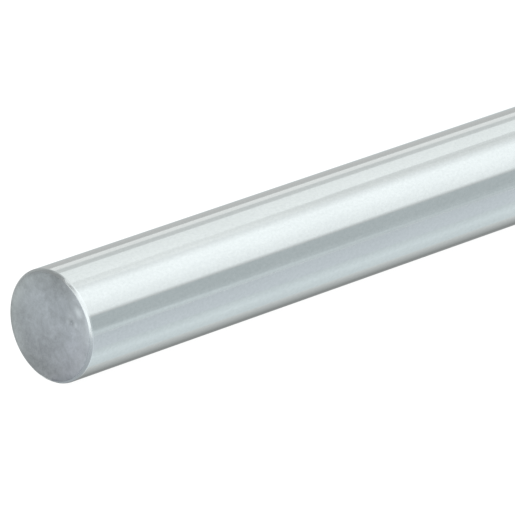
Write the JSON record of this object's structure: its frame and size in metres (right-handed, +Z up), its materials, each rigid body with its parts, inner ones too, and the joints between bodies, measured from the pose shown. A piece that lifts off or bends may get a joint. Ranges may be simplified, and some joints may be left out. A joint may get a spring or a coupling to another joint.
{
  "type": "round steel shaft",
  "caption": "Plain round shaft of polished stainless steel: one straight solid bar with flat square ends, each with a small edge break round its rim.",
  "frame": {"origin": "on the shaft's axis, midway between its two end faces", "axes": "+X along the shaft's axis, +Z up with the shaft lying level, +Y across it"},
  "size_m": [0.3, 0.02, 0.02],
  "materials": {
    "polished_stainless": "ground and polished barrel, matt cut ends"
  },
  "bodies": {
    "root": {"shaft": "polished_stainless"}
  },
  "joints": []
}
